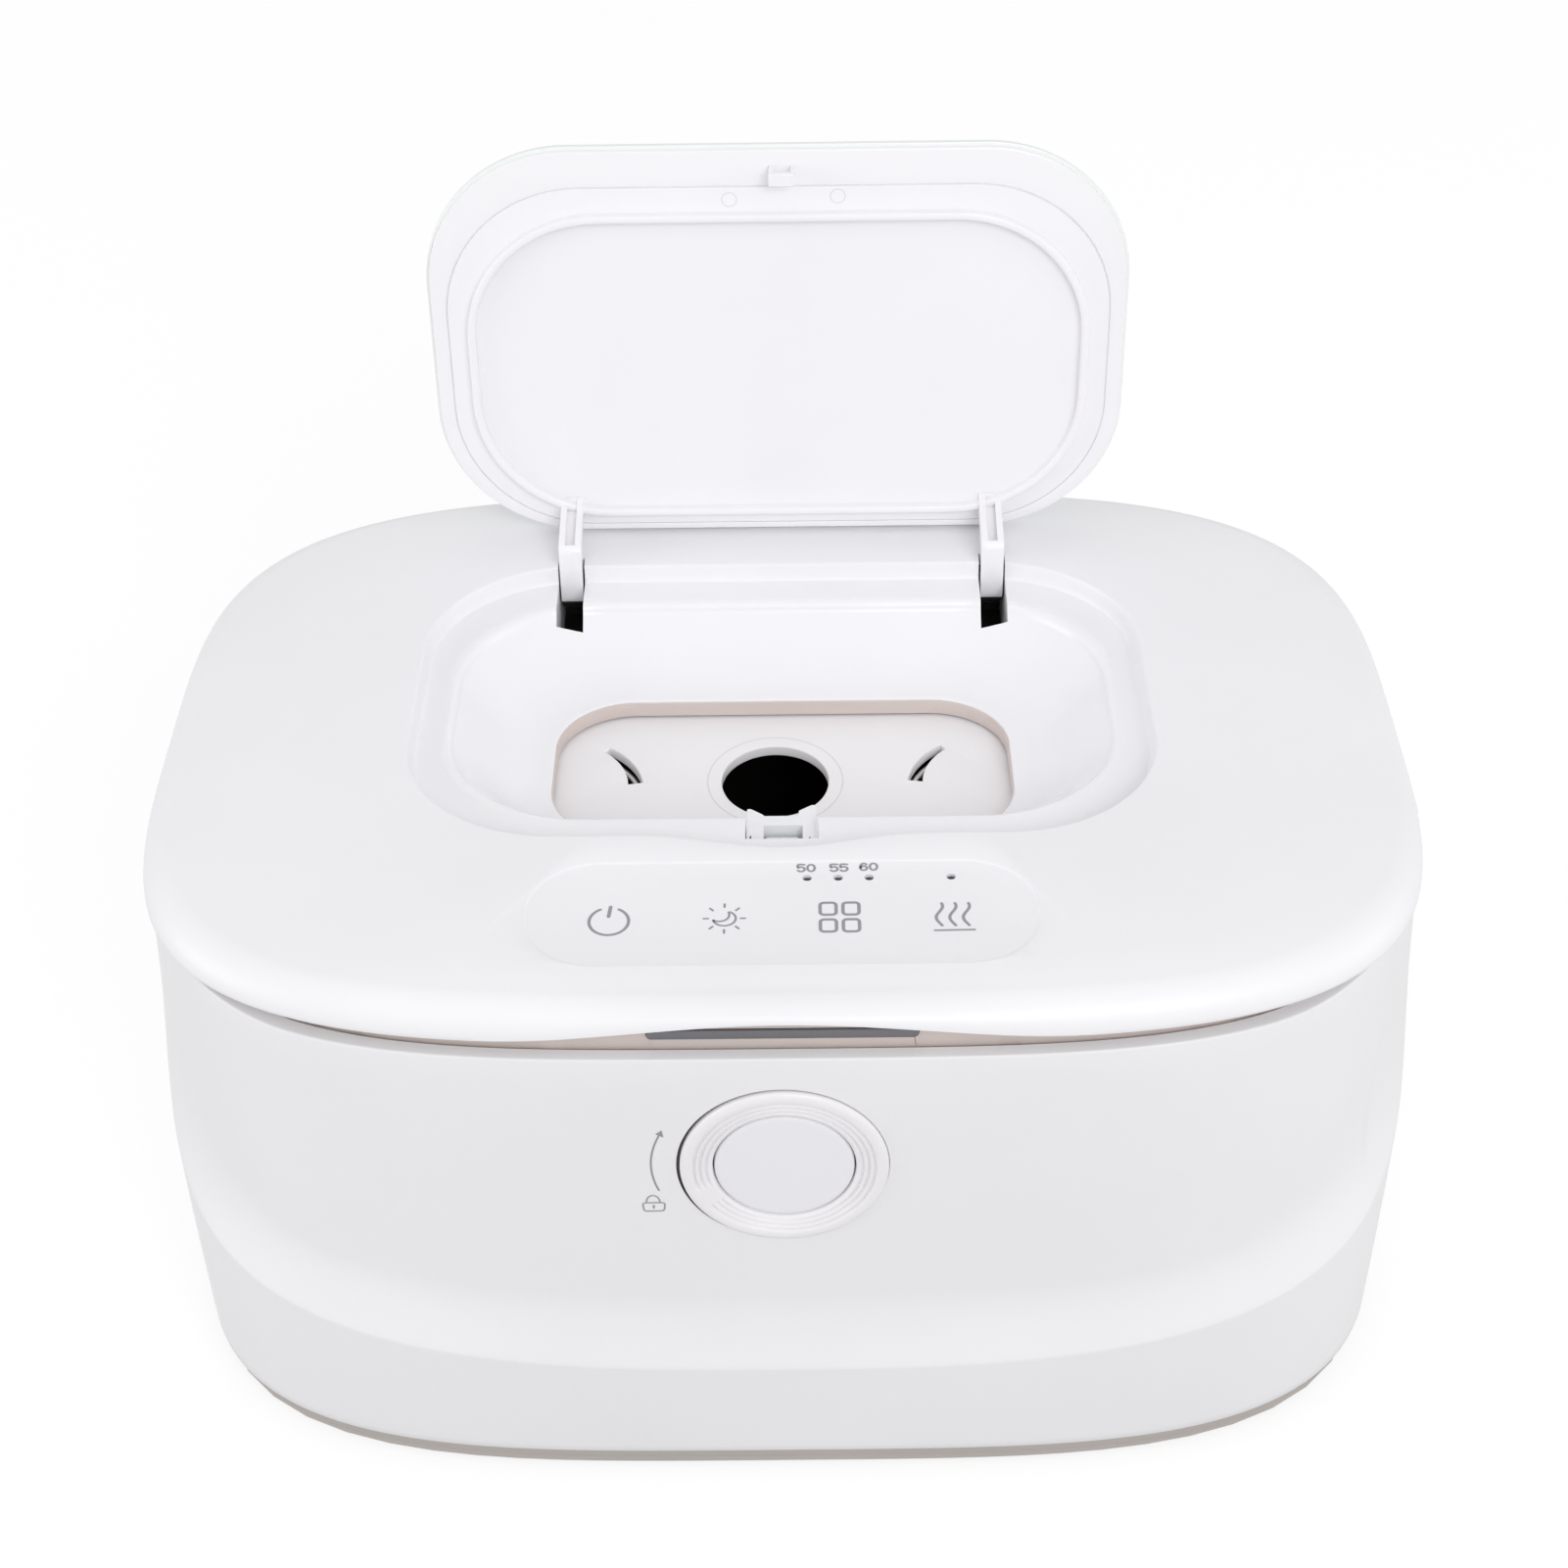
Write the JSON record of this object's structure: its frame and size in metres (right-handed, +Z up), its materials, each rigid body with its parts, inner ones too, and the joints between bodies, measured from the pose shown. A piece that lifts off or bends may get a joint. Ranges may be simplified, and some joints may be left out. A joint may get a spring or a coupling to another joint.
{
  "type": "baby wipe warmer",
  "caption": "Baby wipe warmer with a scooped white tub, hinged top cover, flip lid over a dispensing bowl, sprung lift plate, touch keys and a front lock ring with release button.",
  "frame": {"origin": "middle of the box round the part with the flip lid open, on the plane of its feet", "axes": "+X to the object's right as a person in front of it sees it, +Y to its back, +Z up"},
  "size_m": [0.241, 0.1804, 0.2052],
  "materials": {
    "white_satin": "satin white ABS",
    "white_shell": "fine matt white ABS",
    "taupe": "matt grey taupe",
    "tank_black": "fine matt black",
    "spring_steel": "bright drawn wire",
    "screw_steel": "zinc plated",
    "foot_rubber": "matt",
    "seal_rubber": "matt silicone",
    "board_green": "solder mask",
    "chip_black": "moulded",
    "heater_foil": "amber film",
    "pad_foam": "felt",
    "smoked_window": "smoked, half clear",
    "latch_clear": "greenish, half clear"
  },
  "bodies": {
    "base": {"body_shell": "white_shell", "base_pan": "taupe", "rubber_feet": "foot_rubber", "base_screws": "screw_steel", "inner_tank": "tank_black", "heater_film": "heater_foil", "insulation_pad": "pad_foam", "temp_sensor": "chip_black", "thermal_fuse": "white_satin", "power_board": "board_green", "board_parts": "chip_black", "dc_jack": "chip_black", "cover_hinge_pins": "screw_steel", "ring_retainer": "white_shell", "retainer_screws": "screw_steel", "lift_spring_left": "spring_steel", "lift_spring_right": "spring_steel"},
    "plate": {"lift_plate": "white_satin"},
    "ring": {"lock_ring": "white_satin"},
    "button": {"release_button": "white_satin", "button_catch": "white_satin", "button_spring": "spring_steel"},
    "cover": {"top_cover": "white_satin", "cover_frame": "taupe", "frame_screws": "screw_steel", "cover_seal": "seal_rubber", "light_window": "smoked_window", "night_light_board": "board_green", "touch_board": "board_green", "touch_pads": "spring_steel", "led_lenses": "smoked_window", "cover_hook": "white_satin", "latch_housing": "white_satin", "latch_spring": "spring_steel", "lid_hinge_pins": "screw_steel"},
    "plunger": {"latch_plunger": "latch_clear"},
    "lid": {"lid_shell": "white_satin", "lid_liner": "white_satin", "lid_hook": "white_satin"}
  },
  "joints": [
    {"name": "cover_hinge", "type": "hinge", "parent": "base", "child": "cover", "pos_m": [0, 0.0866, 0.11], "axis": [-1, 0, 0], "range_deg": [0, 95]},
    {"name": "lid_hinge", "type": "hinge", "parent": "cover", "child": "lid", "pos_m": [0, 0.0553, 0.109], "axis": [1, 0, 0], "range_deg": [0, 90], "stiffness_Nm_per_rad": 0.02, "springref_deg": -20.05},
    {"name": "plate_lift", "type": "slide", "parent": "base", "child": "plate", "axis": [0, 0, -1], "range_m": [0, 0.055], "stiffness_N_per_m": 100, "springref_m": -0.02, "deforming": ["lift_spring_left", "lift_spring_right"]},
    {"name": "ring_turn", "type": "hinge", "parent": "base", "child": "ring", "pos_m": [0, -0.0884, 0.0816], "axis": [0, 0.999, 0.0455], "range_deg": [0, 50]},
    {"name": "button_press", "type": "slide", "parent": "base", "child": "button", "axis": [0, 0.999, 0.0455], "range_m": [0, 0.002], "stiffness_N_per_m": 500, "springref_m": -0.002},
    {"name": "latch_press", "type": "slide", "parent": "cover", "child": "plunger", "axis": [0, 0, -1], "range_m": [0, 0.002], "stiffness_N_per_m": 300, "springref_m": -0.0015, "deforming": ["latch_spring"]}
  ]
}
